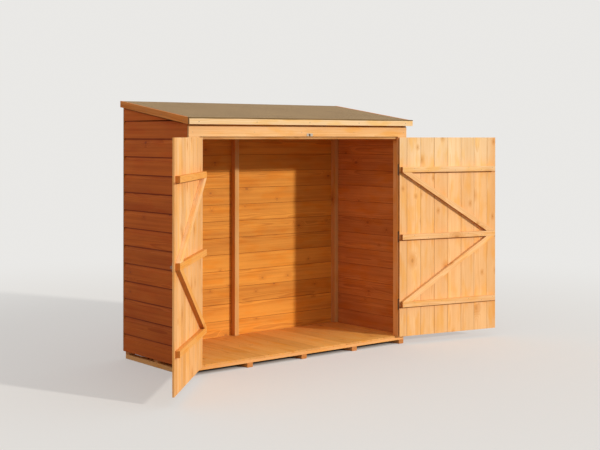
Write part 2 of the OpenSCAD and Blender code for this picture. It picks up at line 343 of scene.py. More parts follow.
class Wire:
    """A number on its way through a node tree. Sums and products of wires add the Math nodes that
    work them out."""

    def __init__(self, finish, socket):
        self.finish, self.socket = finish, socket

    def math(self, operation, *others):
        values = dict(enumerate((self,) + others))
        return self.finish.node("Math", {"operation": operation}, values)

    def __add__(self, other):
        return self.math("ADD", other)

    def __sub__(self, other):
        return self.math("SUBTRACT", other)

    def __mul__(self, other):
        return self.math("MULTIPLY", other)

    def __truediv__(self, other):
        return self.math("DIVIDE", other)

    def __rsub__(self, other):
        return self.finish.node("Math", {"operation": "SUBTRACT"}, {0: other, 1: self})

    __radd__, __rmul__ = __add__, __mul__

    def between(self, start, end):
        """Nought below start, one above end, and an even curve between them."""
        values = {"Value": self, "From Min": start, "From Max": end}
        return self.finish.node("MapRange", {"interpolation_type": "SMOOTHSTEP"}, values)


class Nodes:
    """A node tree, and the one way in which nodes are added to it."""

    def __init__(self, tree):
        self.tree = tree

    def node(self, kind, settings=None, values=None, output=0):
        """Adds a node: its settings first, then the values or wires of its sockets."""
        made = self.tree.nodes.new("ShaderNode" + kind)
        for key, value in (settings or {}).items():
            setattr(made, key, value)
        for key, value in (values or {}).items():
            self.feed(made.inputs[key], value)
        return Wire(self, made.outputs[output] if made.outputs else None)

    def feed(self, socket, value):
        """Sets a socket to a value, or links a wire to it. A colour is given as three numbers."""
        if isinstance(value, Wire):
            self.tree.links.new(value.socket, socket)
        else:
            socket.default_value = (*value, 1.0) if socket.type == "RGBA" else value

    def seen(self):
        """One for a ray that shows the backdrop: the camera's, or off gloss or through glass."""
        kinds = ("Is Camera Ray", "Is Glossy Ray", "Is Transmission Ray")
        straight, glossy, clear = [self.node("LightPath", output=k) for k in kinds]
        return (straight + glossy + clear).math("MINIMUM", 1.0)


class Finish(Nodes):
    """A material and the nodes that work it out."""

    def __init__(self, name):
        self.material = bpy.data.materials.new(name)
        self.material.use_nodes = True
        super().__init__(self.material.node_tree)
        self.shader = self.tree.nodes["Principled BSDF"]

    def attribute(self, name, output="Fac"):
        return self.node("Attribute", {"attribute_name": name}, output=output)

    def combined(self, operation, first, second):
        """Two vectors added, taken from each other or multiplied part by part."""
        return self.node("VectorMath", {"operation": operation}, {0: first, 1: second})

    def stretched(self, vector, scale):
        return self.combined("MULTIPLY", vector, scale)

    def parts(self, vector):
        """The three numbers of a vector."""
        split = self.node("SeparateXYZ", None, {0: vector}).socket.node
        return [Wire(self, s) for s in split.outputs]

    def noise(self, vector, scale, detail=2.0, output=0):
        """Noise at a scale, or at one for each part of its vector."""
        if isinstance(scale, tuple):
            vector, scale = self.stretched(vector, scale), 1.0
        values = {"Vector": vector, "Scale": scale, "Detail": detail}
        return self.node("TexNoise", None, values, output)

    def cells(self, vector, scale, dimensions="3D"):
        """Distance to the nearest of some scattered spots, and its three random numbers."""
        settings, values = {"voronoi_dimensions": dimensions}, {"Vector": vector, "Scale": scale}
        away = self.node("TexVoronoi", settings, values, "Distance")
        return away, self.parts(Wire(self, away.socket.node.outputs["Color"]))

    def blend(self, share, first, second, how="MIX"):
        """A colour between two, or one laid on the other."""
        settings = {"data_type": "RGBA", "blend_type": how, "clamp_factor": True}
        return self.node("Mix", settings, {0: share, 6: first, 7: second}, 2)

    def dimmed(self, colour, strength):
        """A colour times a number."""
        return self.node("VectorMath", {"operation": "SCALE"}, {0: colour, 3: strength})

    def surface(self, colour, roughness, height, depth, **constants):
        """Feeds the shader. height is a wire of relief and depth its full height in metres."""
        self.feed(self.shader.inputs["Base Color"], colour)
        self.feed(self.shader.inputs["Roughness"], roughness)
        for key, value in constants.items():
            self.shader.inputs[key.replace("_", " ")].default_value = value
        bump = self.node("Bump", None, {"Height": height, "Distance": depth})
        self.feed(self.shader.inputs["Normal"], bump)
        return self.material


def wood(
    name, pale, dark, knot, sawn=0.0, streaks=0.8, knots=0.60, end_tint=None, weather_and_light_tint=None,
    sheen=0.22, stain=1.0,
):
    """Softwood from its own grain: rings about the pith that wander along the board and bow round
    its knots, streaks, warm patches and fibres along it, end grain, grime with painted shade in the
    joints, hollows and bands under ledges, and saw marks where it isn't planed. sawn is the marks'
    strength, knots the share of cells without a knot, stain the strength of the stain about one,
    and a tint is laid by each point's share of weathering and painted light."""
    f = Finish(name)
    grain = f.attribute("grain", "Vector")
    tone, ends, grime = [f.attribute(name) for name in ("tone", "end_grain", "grime")]
    along, across, _ = f.parts(grain)

    # Knots: one in some cells of a loose grid over the board's face
    cell, stretch = 0.17, 1.7
    spread = {0: along / (cell * stretch), 1: across / cell}
    flat = f.node("CombineXYZ", None, spread)
    ragged = f.noise(grain, 110.0, 1.0) - 0.5
    away, (pick, size, strength) = f.cells(flat, 1.0, "2D")
    away = away * cell + ragged * 0.004
    there = pick.between(knots, knots + 0.03) * (1 - ends)
    girth = size * size * 0.007 + 0.0035
    near = away / girth
    core = (1 - near.between(0.35, 1.25)) * there * (strength * 0.6 + 0.4)
    rim = near.between(0.45, 0.95) * core
    halo = (1 - near.between(0.8, 5.4)) * there

    # Rings about the pith, a growth ring apart, each darkest in its late wood
    growth = 0.0042
    slow = f.noise(grain, (1.4, 7.0, 7.0), 2.0, output="Color")
    drift = f.combined("SUBTRACT", slow, (0.5, 0.5, 0.5))
    drift = f.stretched(drift, (0.0, 0.030, 0.026))
    bent = f.combined("ADD", grain, drift)
    _, ring_u, ring_v = f.parts(bent)
    reach = (ring_u * ring_u + ring_v * ring_v).math("SQRT") + halo * 0.014
    turn = (reach / growth).math("FRACT")
    late = turn.between(0.30, 0.92) * (1 - turn.between(0.94, 1.0))
    band = f.noise(grain, (0.9, 55.0, 55.0), 3.0)
    fibre = f.noise(grain, (16.0, 800.0, 800.0), 2.0)
    cloud = f.noise(grain, (2.6, 9.0, 9.0), 2.0)
    patch = f.noise(grain, (4.5, 17.0, 17.0), 3.0)

    share = late * 0.42 + (band - 0.5) * streaks + (cloud - 0.5) * 0.9 + 0.22 - tone * 0.10
    colour = f.blend(share, pale, dark)
    colour = f.blend(patch.between(0.46, 0.68) * 0.8, colour, WARM, "MULTIPLY")
    colour = f.blend(halo * (0.5 * stain), colour, dark)
    colour = f.blend(halo * (0.55 * stain), colour, KNOT_STAIN, "MULTIPLY")
    colour = f.blend(core * 0.8, colour, knot)
    colour = f.blend(rim * 0.3, colour, [0.45 * c for c in knot])
    # A tint by each point's share of weathering and painted light: weathering with painted shade on
    # the walls' outer faces, painted highlight and shade on the leaves
    if weather_and_light_tint:
        weather_and_light_share = f.attribute("weathered")
        colour = f.blend(weather_and_light_share, colour, weather_and_light_tint, "MULTIPLY")
    colour = f.blend(ends, colour, end_tint or END_TINT, "MULTIPLY")
    # Grime with painted shade: hollows under the laps, joints, bands under ledges, brace sides,
    # slot strips
    colour = f.blend(grime, colour, GRIME_AND_SHADE_TINT, "MULTIPLY")
    colour = f.dimmed(colour, 1 + tone * 0.08 + (fibre - 0.5) * 0.16)
    rough = 0.66 + (band - 0.5) * 0.16 + late * 0.05 - core * 0.14
    relief = late * 0.35 + fibre * 0.45
    if sawn:
        marks = f.noise(grain, (330.0, 9.0, 9.0), 1.0)
        relief = relief + marks * sawn
    return f.surface(colour, rough, relief, 0.0006, Specular_IOR_Level=sheen)


def felt():
    """Mineral felt: close grey-brown chippings, pale and dark ones among them, over slow stains.
    Where it is folded down it is much darker and smoother."""
    f = Finish("mineral_felt")
    here = f.node("TexCoord", output="Object")
    fold_share = f.attribute("folded")
    chips, (shade, sort, _) = f.cells(here, 620.0)
    slow = f.noise(here, 3.0, 3.0)
    broad = f.noise(here, (9.0, 27.0, 27.0), 3.0)
    colour = f.blend(shade, FELT_DARK, FELT_PALE)
    colour = f.blend(sort.between(0.93, 0.96) * 0.7, colour, FELT_CHIP)
    colour = f.dimmed(colour, 0.80 + slow * 0.28 + broad * 0.18)
    colour = f.blend(fold_share, colour, FOLD_DARK)
    rough = 0.86 + shade * 0.1
    relief = (1 - chips) * (1 - fold_share * 0.8)
    return f.surface(colour, rough, relief, 0.0007, Specular_IOR_Level=0.25)


def zinc(name, tint, dullness):
    """Zinc plate: pale spangles, a drawn satin sheen and dull smudges."""
    f = Finish(name)
    here = f.node("TexCoord", output="Object")
    _, (flake, _, _) = f.cells(here, 260.0)
    smudge = f.noise(here, 45.0, 3.0)
    fine = f.noise(here, (900.0, 900.0, 120.0), 1.0)
    colour = f.dimmed(tint, 0.80 + flake * 0.14 + smudge * 0.16)
    rough = dullness + (smudge - 0.5) * 0.22 + (fine - 0.5) * 0.08
    return f.surface(colour, rough, fine + smudge, 0.00012, Metallic=0.9)


WARM, KNOT_STAIN = (1.0, 0.86, 0.50), (0.84, 0.68, 0.44)
# Tint of grime and of the shade painted into joints, hollows and under ledges
GRIME_AND_SHADE_TINT = (0.47, 0.26, 0.12)
# The cut ends' tint, on the leaves' boards and ledges, is end grain with painted shade
END_TINT, CUT_END_AND_SHADE = (0.74, 0.60, 0.48), (0.62, 0.42, 0.26)
FELT_DARK, FELT_PALE = (0.265, 0.170, 0.084), (0.455, 0.305, 0.152)
FELT_CHIP, FOLD_DARK = (0.67, 0.50, 0.28), (0.16, 0.095, 0.032)
WALL_GRAIN = {"streaks": 1.2, "knots": 0.52, "sheen": 0.20, "stain": 0.45}
# The walls' outer faces take the last tint, redder and darker: weathering together with painted
# shade
CLADDING = wood(
    "cladding_boards", (0.77, 0.315, 0.042), (0.49, 0.158, 0.019), (0.28, 0.075, 0.012),
    weather_and_light_tint=(0.92, 0.50, 0.30), **WALL_GRAIN,
)
# A copy of the cladding with more blue for the right wall, which stands in shade: the hue of
# painted shade
RIGHT_SHADE_CLADDING = wood(
    "right_cladding_boards", (0.77, 0.320, 0.095), (0.49, 0.162, 0.050), (0.28, 0.078, 0.026),
    weather_and_light_tint=(0.92, 0.50, 0.14), **WALL_GRAIN,
)
# The leaves' last tint is paler: a painted highlight laid by height, and painted light on the
# timbers' sides
DOOR = wood(
    "door_boards", (0.91, 0.505, 0.205), (0.77, 0.345, 0.100), (0.50, 0.19, 0.036),
    knots=0.36, end_tint=CUT_END_AND_SHADE, weather_and_light_tint=(1.0, 1.25, 1.70),
)
LEDGE = wood(
    "left_ledge_timber", (0.90, 0.44, 0.115), (0.76, 0.31, 0.060), (0.40, 0.13, 0.03),
    end_tint=CUT_END_AND_SHADE,
)
TRIM = wood("trim_boards", (0.90, 0.54, 0.240), (0.76, 0.37, 0.120), (0.45, 0.15, 0.04))
# Its end tint is end grain darkened further with painted shade
FASCIA = wood(
    "fascia_board", (0.93, 0.67, 0.39), (0.82, 0.51, 0.22), (0.48, 0.19, 0.06),
    end_tint=(0.35, 0.26, 0.16),
)
BARGE = wood("side_fascia_boards", (0.84, 0.300, 0.065), (0.61, 0.180, 0.030), (0.26, 0.075, 0.014))
SAWN = wood("sawn_timber", (0.82, 0.46, 0.170), (0.62, 0.29, 0.090), (0.32, 0.10, 0.022), sawn=0.7)
FLOOR = wood(
    "floor_timber", (0.93, 0.50, 0.135), (0.77, 0.35, 0.068), (0.38, 0.13, 0.024),
    sawn=0.2, end_tint=(0.86, 0.78, 0.86),
)
RIM = wood("joist_timber", (0.83, 0.41, 0.145), (0.70, 0.30, 0.090), (0.38, 0.13, 0.024), sawn=0.2)
FELT = felt()
ZINC = zinc("zinc_plate", (0.36, 0.31, 0.25), 0.50)
HINGE = zinc("hinge_plate", (0.19, 0.145, 0.10), 0.60)
NAIL = zinc("nail_steel", (0.26, 0.21, 0.17), 0.55)

# Walls --------------------------------

ROWS, COVER = 14, 0.11624
ROW_Z = WALL_FOOT + COVER * np.arange(ROWS + 1)
# The side walls' lower boards are darkened by painted shade, most at the foot
RIGHT_DROP, SIDE_FOOT_SHADE = 0.0085, 1.6
TOP_START, TOP_SLOT, TOP_SET = FRONT_Y + 0.052, 0.0335, 0.004
TOP_LIFT, TOP_TONE, TOP_SOFT, SEAM = LAP_H + LAP_GAP, 0.2, 0.0006, 0.0002
TONGUE_PROUD, BACK_TONGUE = 0.0004, 0.0055
# The corner strips' low tone is painted shade at the back corners
STRIP_W, STRIP_GAP, STRIP_SOFT, STRIP_SHADE_TONE = 0.020, 0.0008, 0.001, -3.0
# The slot strip's low tone is painted shade under the side fascia
SLOT_SHADE_TONE, SLOT_LAP = -1.0, 0.0003


def outer_weather_and_shade(start, outwards):
    """Weathered, with painted shade that reddens and darkens the outer face, beyond a plane, in
    full at two fifths of a board's thickness from it.
    """
    way = np.array(outwards, float)
    return lambda points: np.clip((points @ way - start) / (0.4 * WALL_T), 0, 1)


def clad(place, length, drop=0.0, foot_shade=0.0):
    """Rows of lapped boards with level joints, lowered by drop, which is ripped off the first one.
    place runs along the wall, up it, and inwards. Painted shade darkens the lower boards, most at
    the foot, by the last argument's strength."""
    stock = Stock()
    up = Place(place.origin, place.axes[1], place.axes[2], place.axes[0])
    for k in range(ROWS - 1):
        foot = max(ROW_Z[k] - drop, WALL_FOOT)
        shift = Place(up.origin + up.axes[0] * (foot - WALL_FOOT), *up.axes)
        cover = ROW_Z[k + 1] - drop - foot
        # Painted shade: the lower rows darker, most at the foot
        tone = chance.uniform(-0.8, 0.8) - foot_shade * (1 - k / (ROWS - 1))
        shape = moulding(lap_profile(cover, WALL_T, first=k == 0), (0, length))
        stock.add(shape, shift, tone=tone)
    return stock


def cut_to_slope(y0, y1, foot, drop=0.0):
    """Outline, as height and depth, of an upright cut to the roof's slope at its head."""
    return [(foot, y0), (foot, y1), (roof_z(y1) - drop, y1), (roof_z(y0) - drop, y0)]


def top_board(foot, tops):
    """Outline of a top board, from its level foot up to the slope between two points."""
    (y0, z0), (y1, z1) = tops
    return [(y0, foot), (y1, foot), (y1, z1), (y0, z0)]


def side_cladding(side, node, finish, drop=0.0):
    """A side wall's boards. The top one is ripped to the roof's slope. Its outer layer laps the
    board below, its inner one is raised over that board's tongue, and a slot strip above it is
    painted dark, as painted shade under the side fascia."""
    run = Y if side < 0 else -Y
    start = (side * SIDE_X, FRONT_Y if side < 0 else BACK_IN, WALL_FOOT)
    stock = clad(Place(start, run, Z, (-side, 0, 0)), BACK_IN - FRONT_Y, drop, SIDE_FOOT_SHADE)
    foot = ROW_Z[-2] - drop
    tongue = WALL_T * (1 - LAP_SHARE) + TONGUE_PROUD
    tops = [(y, roof_z(y) - TOP_SLOT) for y in (TOP_START, BACK_IN)]
    for depth, thick, lift in ((0.0, tongue, TOP_LIFT), (tongue, WALL_T - tongue, SEAM)):
        layer = Place((side * (SIDE_IN + depth), 0, 0), Y, Z, (side, 0, 0))
        board = block(top_board(foot + lift, tops), thick, TOP_SOFT)
        stock.add(board, layer, "across", tone=TOP_TONE)
    ends = (FRONT_Y, BACK_IN)
    # The slot strip: a board painted dark with grime and a low tone, painted shade under the side
    # fascia
    strip = [(y, roof_z(y) - TOP_SLOT + SLOT_LAP) for y in ends]
    strip += [(y, roof_z(y)) for y in ends[::-1]]
    inner = Place((side * SIDE_IN, 0, 0), Y, Z, (side, 0, 0))
    board = block(strip, WALL_T - TOP_SET, TOP_SOFT, 1.0)
    stock.add(board, inner, "across", tone=SLOT_SHADE_TONE)
    weather_and_light_share = outer_weather_and_shade(SIDE_IN, (side, 0, 0))
    timber(node + "_cladding", stock, finish, "shelter", "treated_boards", node, weather_and_light=weather_and_light_share)


def back_cladding():
    """The back wall's boards, between a strip at each corner."""
    half = SIDE_X - STRIP_W - STRIP_GAP
    stock = clad(Place((-half, BACK_Y, WALL_FOOT), X, Z, -Y), 2 * half, RIGHT_DROP)
    foot = ROW_Z[-2] - RIGHT_DROP
    middle = BACK_IN + BACK_TONGUE
    for y0, y1, lift in ((BACK_IN, middle, TOP_LIFT), (middle, BACK_Y, SEAM)):
        outline = top_board(foot + lift, [(y0, roof_z(y0)), (y1, roof_z(y1))])
        place = Place((-half, 0, 0), Y, Z, X)
        stock.add(block(outline, 2 * half, TOP_SOFT), place, tone=TOP_TONE)
    corner = cut_to_slope(BACK_IN, BACK_Y, WALL_FOOT)
    # Corner strips, darkened by painted shade
    for x in (-SIDE_X, SIDE_X - STRIP_W):
        strip = block(corner, STRIP_W, STRIP_SOFT)
        stock.add(strip, Place((x, 0, 0), Z, Y, X), "across", tone=STRIP_SHADE_TONE)
    weather_and_light_share = outer_weather_and_shade(BACK_IN, Y)
    name = "back_wall_cladding"
    timber(name, stock, CLADDING, "shelter", "treated_boards", "back_wall", weather_and_light=weather_and_light_share)


side_cladding(-1, "left_wall", CLADDING)
side_cladding(1, "right_wall", RIGHT_SHADE_CLADDING, RIGHT_DROP)
back_cladding()

# Floor --------------------------------


def boxes(name, node, spans, run, finish, slot, soft=SOFT_SAWN):
    """Straight timbers between low and high corners, with the grain along the axis run."""
    stock = Stock()
    for lo, hi in spans:
        size = np.subtract(hi, lo)
        a, b = [k for k in range(3) if k != run]
        place = Place(lo, AXES[a], AXES[b], AXES[run])
        stock.add(block(rect(0, 0, size[a], size[b]), size[run], soft), place)
    timber(name, stock, finish, "shelter", slot, node)


def shared_out(node, count, axis, size):
    """Corners of equal timbers set out evenly across a node's box."""
    lo, hi = low(node), high(node)
    spans = []
    for start in np.linspace(lo[axis], hi[axis] - size, count):
        a, b = lo.copy(), hi.copy()
        a[axis], b[axis] = start, start + size
        spans.append((a, b))
    return spans


BATTEN_W = 0.044
for name, node, count, axis in (
    ("bearer_timbers", "floor_bearers", 5, 0),
    ("joist_timbers", "floor_joists", 3, 1),
):
    spans = shared_out(node, count, axis, BATTEN_W)
    boxes(name, node, spans, 1 - axis, RIM, "floor_timber")

FLOOR_COVER, FLOOR_JOINT, FLOOR_SOFT = 0.1155, 0.0022, 0.0009
NARROWEST = 0.03
floor_lo, floor_hi = low("floor_boards"), high("floor_boards")
floor_starts = np.arange(floor_lo[0], floor_hi[0] - NARROWEST, FLOOR_COVER)
floor_edges = np.append(floor_starts, floor_hi[0])
floor_spans = [
    ((x0 + FLOOR_JOINT / 2, *floor_lo[1:]), (x1 - FLOOR_JOINT / 2, *floor_hi[1:]))
    for x0, x1 in pairwise(floor_edges)
]
boxes("floor_planks", "floor_boards", floor_spans, 1, FLOOR, "floor_timber", FLOOR_SOFT)

# Frame timbers ------------------------


def upright(node, drop=0.0, finish=SAWN, tone=None):
    """A post or stud cut to the roof's slope at its head."""
    lo, hi = low(node), high(node)
    board = block(cut_to_slope(lo[1], hi[1], lo[2], drop), hi[0] - lo[0], SOFT_SAWN)
    stock = Stock().add(board, Place((lo[0], 0, 0), Z, Y, X), "across", tone=tone)
    timber(node + "_timber", stock, finish, "shelter", "treated_frame", node)


def slanted(y0, y1, rise, height):
    """Outline of a timber along the slope, its top so far above the roof boards' underside."""
    tops = [roof_z(y) + rise for y in (y0, y1)]
    return [(y0, tops[0] - height), (y1, tops[1] - height), (y1, tops[1]), (y0, tops[0])]


def sloped_rail(node, top_drop, height, lengthways, tone=None):
    """A timber under the roof boards. It runs across the store, or down its slope."""
    lo, hi = low(node), high(node)
    board = block(slanted(lo[1], hi[1], -top_drop, height), hi[0] - lo[0], SOFT_SAWN)
    run, lean = ("depth", 0.0) if lengthways else ("across", PITCH)
    stock = Stock().add(board, Place((lo[0], 0, 0), Y, Z, X), run, lean, tone)
    timber(node + "_timber", stock, SAWN, "shelter", "treated_frame", node)


RAFTER_H, STUD_W = 0.044, 0.034
# The lintel's low tone paints the header's shadow over its face
STUD_TONE, MIDDLE_TONE, LINTEL_SHADE_TONE = -1.2, -1.4, -2.6
for name in ("left_front_post", "right_front_post"):
    upright(name, finish=TRIM)
for name in ("left_back_stud", "right_back_stud"):
    upright(name, tone=STUD_TONE)
upright("middle_back_stud", RAFTER_H + STUD_W, tone=MIDDLE_TONE)
lintel = low("door_lintel")
lintel_h = roof_z(lintel[1]) - RAFTER_H - lintel[2]
sloped_rail("door_lintel", RAFTER_H, lintel_h, True, LINTEL_SHADE_TONE)
sloped_rail("back_top_rail", RAFTER_H, STUD_W, True)
for name in ("left_top_rail", "right_top_rail", "centre_rafter"):
    sloped_rail(name, 0.0, RAFTER_H, False)

# Facings ------------------------------

header_lo, header_hi = low("header_board"), high("header_board")
FACING_H, FILLER_BACK, FILLER_GAP = 0.0665, 0.006, 0.0005
HEADER_SPLIT = header_lo[2] + FACING_H


def header_part(name, finish, foot, head, back_set, *nodes):
    """A board across the front over the doors, between two heights or up to the roof."""
    y0, y1 = header_lo[1] + back_set, header_hi[1]
    tops = [roof_z(y) if head is None else head for y in (y0, y1)]
    outline = top_board(foot, zip((y0, y1), tops))
    board = block(outline, header_hi[0] - header_lo[0], SOFT_PLANED)
    stock = Stock().add(board, Place((header_lo[0], 0, 0), Y, Z, X), tone=0.0)
    timber(name, stock, finish, "shelter", "treated_boards", *nodes)


header_part("header_facing", TRIM, header_lo[2], HEADER_SPLIT, 0.0, "header_board")
# The filler is in the darker cladding finish: painted shade that deepens the shadow line under the
# front fascia
header_part("header_filler", CLADDING, HEADER_SPLIT + FILLER_GAP, None, FILLER_BACK)
for side in ("left", "right"):
    name, node = side + "_corner_facing", side + "_corner_trim"
    boxes(name, node, [(low(node), high(node))], 2, TRIM, "treated_boards", SOFT_PLANED)

# Roof ---------------------------------

ROOF_BOARD_T, ROOF_JOINT, ROOF_SOFT = 0.012, 0.0012, 0.0009
ROOF_FRONT_IN, ROOF_BACK_IN, ROOF_BOARDS = 0.002, 0.0005, 7
FOLD_T, FOLD_SUNK, FASCIA_DOWN = 0.0016, 0.0004, 0.0006
roof_lo, roof_hi = low("roof_boards"), high("roof_boards")
start = np.array([roof_lo[0], roof_lo[1], roof_z(roof_lo[1])])
up_slope = (0, math.cos(PITCH), math.sin(PITCH))
slope_place = Place(start, up_slope, (0, -math.sin(PITCH), math.cos(PITCH)), X)
slope_len = (roof_hi[1] - roof_lo[1]) / math.cos(PITCH)
roof_edges = np.linspace(ROOF_FRONT_IN, slope_len - ROOF_BACK_IN, ROOF_BOARDS + 1)
roof = Stock()
for s0, s1 in pairwise(roof_edges):
    outline = rect(s0 + ROOF_JOINT / 2, 0, s1 - ROOF_JOINT / 2, ROOF_BOARD_T)
    roof.add(block(outline, roof_hi[0] - roof_lo[0], ROOF_SOFT), slope_place)
timber("roof_planks", roof, CLADDING, "shelter", "treated_boards", "roof_boards")

fascia_lo, fascia_hi = low("front_fascia"), high("front_fascia")
FASCIA_FACE = fascia_lo[1] + FOLD_T - FOLD_SUNK
fascia_foot = (fascia_lo[0], FASCIA_FACE, fascia_lo[2])
fascia_head = (*fascia_hi[:2], fascia_hi[2] - FASCIA_DOWN)
fascia = ("front_fascia_board", "front_fascia", [(fascia_foot, fascia_head)])
boxes(*fascia, 0, FASCIA, "treated_boards", SOFT_PLANED)
ROOF_RISE = 0.015 / math.cos(PITCH)
FASCIA_RISE = 0.041 / math.cos(PITCH)
for side in ("left", "right"):
    node = side + "_fascia"
    lo, hi = low(node), high(node)
    board = block(slanted(lo[1], hi[1], ROOF_RISE, FASCIA_RISE), hi[0] - lo[0], SOFT_PLANED)
    stock = Stock().add(board, Place((lo[0], 0, 0), Y, Z, X), "across", PITCH)
    timber(node + "_board", stock, BARGE, "shelter", "treated_boards", node)


def felt_sheet():
    """The felt: a grid over the slope that rises and falls by slow waves, then one profile
    carried round its edge: a quarter circle down, a drop, a turn in and a way back up inside."""
    lo, hi = low("roof_felt"), high("roof_felt")
    fold, thick, drop, clear, sunk = 0.0035, 0.003, ROOF_RISE, 0.0008, 0.0003
    nx, ny, swell, calm = 73, 31, 0.0006, 0.05
    x, y = [
        np.linspace(lo[k] + fold + clear, hi[k] - fold - clear, n) for k, n in enumerate((nx, ny))
    ]
    gx, gy = np.meshgrid(x, y)
    wave = np.sin(gx * 7.1 + 0.6) * np.sin(gy * 9.3 + 1.1) + 0.5 * np.sin(gx * 17.0 - gy * 13.0)
    fade = np.minimum(np.minimum(gx - x[0], x[-1] - gx), np.minimum(gy - y[0], y[-1] - gy))
    sink = sunk + swell * (1 + wave / 1.5) / 2 * np.clip(fade / calm, 0, 1)
    top = np.stack([gx, gy, roof_z(gy) + drop - sink], -1)
    under = top.copy()
    under[..., 2] = roof_z(gy) + drop - thick
    index = np.arange(nx * ny).reshape(ny, nx)
    quad = np.stack([index[:-1, :-1], index[:-1, 1:], index[1:, 1:], index[1:, :-1]], -1)
    quad = quad.reshape(-1, 4)
    edge = np.concatenate([index[0, :-1], index[:-1, -1], index[-1, :0:-1], index[:0:-1, 0]])
    rim = top.reshape(-1, 3)[edge]
    at_foot = np.isclose(rim[:, :2], (x[0], y[0]), 0, 1e-9)
    out = np.isclose(rim[:, :2], (x[-1], y[-1]), 0, 1e-9) * 1.0 - at_foot
    turn = np.radians([30, 60, 90])
    section = [(fold * math.sin(t), -fold * (1 - math.cos(t))) for t in turn]
    hem, foot, inside = 0.001 - drop, sunk - drop, fold - thick
    section += [(fold, hem), (fold - 0.0008, foot), (inside + 0.0004, foot)]
    section += [(inside + 0.0002, hem), (inside + 0.0002, -thick - 0.0004)]
    rings = []
    for reach, fall in section:
        ring = rim.copy()
        ring[:, :2] += out * reach
        ring[:, 2] = roof_z(ring[:, 1]) + drop + fall - sunk
        rings.append(ring)
    points = np.concatenate([top.reshape(-1, 3), under.reshape(-1, 3)] + rings)
    n, m = nx * ny, len(edge)
    loops = [edge] + [2 * n + m * k + np.arange(m) for k in range(len(rings))] + [n + edge]
    faces = quad.tolist() + (quad + n)[:, ::-1].tolist()
    for a, b in pairwise(loops):
        faces += np.stack([a, b, np.roll(b, -1), np.roll(a, -1)], -1).tolist()
    sheet = to_object("felt_covering", points, faces, FELT, math.radians(50))
    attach(sheet, "shelter")
    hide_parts("roof_felt")


felt_sheet()


def felt_fold():
    """The strip of felt that laps the front fascia: a band on the slope, a quarter circle over
    the board's top arris and a short drop, carried along the front and set off by waves."""
    thick, radius, drop, lap, proud = FOLD_T, 0.0028, 0.0068, 0.014, 0.0012
    y0, front, top = fascia_hi[1] + lap, FASCIA_FACE - thick, fascia_hi[2] + proud
    over, under = ROOF_RISE + 0.0008, ROOF_RISE - 0.0006
    turn = np.radians(np.linspace(0, 90, 6))
    bend = np.column_stack([1 - np.sin(turn), np.cos(turn) - 1])
    outer = np.array([front, top]) + radius * bend
    inner = np.array([front + thick, top - thick]) + (radius - thick) * bend[::-1]
    hem = [(front, top - drop), (front + thick, top - drop)]
    band = [[(y0, roof_z(y0) + rise)] for rise in (over, under)]
    section = np.concatenate([band[0], outer, hem, inner, band[1]])
    fold_share = np.zeros(len(section))
    fold_share[3 : len(outer) + 3] = 1.0
    side = fascia_hi[0] - 0.0004
    along = np.linspace(-side, side, 61)
    wave = np.sin(along * 9.1 + 0.4) + 0.6 * np.sin(along * 23.0 + 2.0)
    p = anticlockwise(np.column_stack([section, fold_share]))
    rings = np.zeros((len(along), len(p), 3))
    rings[..., 0] = along[:, None]
    rings[..., 1] = p[:, 0]
    sag = np.where(p[:, 1] < top - drop * 0.5, 0.0006, 0.0002)
    rings[..., 2] = p[:, 1] + wave[:, None] * sag
    faces = rings_to_faces(len(along), len(p), False)
    fold = to_object("felt_front_fold", rings.reshape(-1, 3), faces, FELT, math.radians(50))
    mark(fold, "folded", np.tile(p[:, 2], len(along)))
    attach(fold, "shelter")


felt_fold()

# Doors --------------------------------

# Each leaf's tone, paler on the right: painted light for the brighter light on that leaf
LEAF_LIGHT_TONE = {"left": -0.2, "right": 0.5}
LEDGE_FEET = LEDGE_MID - np.array(LEDGE_W / 2)
TOP_FOOT = LEDGE_FEET[2] + LEAF_FOOT
# The left leaf gets no highlight just below the top ledge: painted shade there
LEDGE_SHADE_DOWN = (0.10, 0.03)
TOP_LEDGE_SHADE = (TOP_FOOT - LEDGE_SHADE_DOWN[0], TOP_FOOT - LEDGE_SHADE_DOWN[1], 1.22, 1.26)


def left_highlight_and_shade(z):
    """A third of the height in metres, a painted highlight that grows towards the head, and less
    or none about the foot of the top ledge: painted shade under it.
    """
    return z / 3.0 * (1 - np.interp(z, TOP_LEDGE_SHADE, (0, 1, 1, 0)))


def right_highlight(z):
    """Painted highlight: a quarter at the foot, and in full towards the head."""
    return np.clip((z - 1.10) / 0.20, 0.25, 1)


LEAF_LIGHT = {"left": left_highlight_and_shade, "right": right_highlight}
# How much more than the boards the ledges and braces are lightened: painted light on their shaded
# sides
TIMBER_LIGHT = {"left": 0.35, "right": 0.05}
# Strength, for the bottom, middle and top ledge, of a band painted dark under each: painted shadow
# with grime
UNDER_LEDGE_SHADE = {"left": (0.2, 0.2, 0.7), "right": (0.9, 0.8, 0.6)}
# Grime with painted shade on each brace's six rings, darkest on the side next to its outer arris
BRACE_SIDE_SHADE = {
    ("left", "lower"): (0.5, 0.5, 0.5, 0.7, 0.3, 0.0),
    ("left", "upper"): None,
    ("right", "lower"): None,
    ("right", "upper"): (0.1, 0.1, 0.1, 1.0, 0.5, 0.0),
}
# Heights about a ledge's foot and strengths of that painted shadow band
LEDGE_BAND = ((-0.012, 0), (-0.007, 1), (0.001, 1), (0.006, 0))
DOOR_FIRST, DOOR_COVER, DOOR_SPREAD = 0.061 - LAP_H - LAP_GAP / 2, 0.1153, 0.0012
DOOR_JOINTS = np.concatenate([[0.0], DOOR_FIRST + DOOR_COVER * np.arange(7), [LEAF_W]])


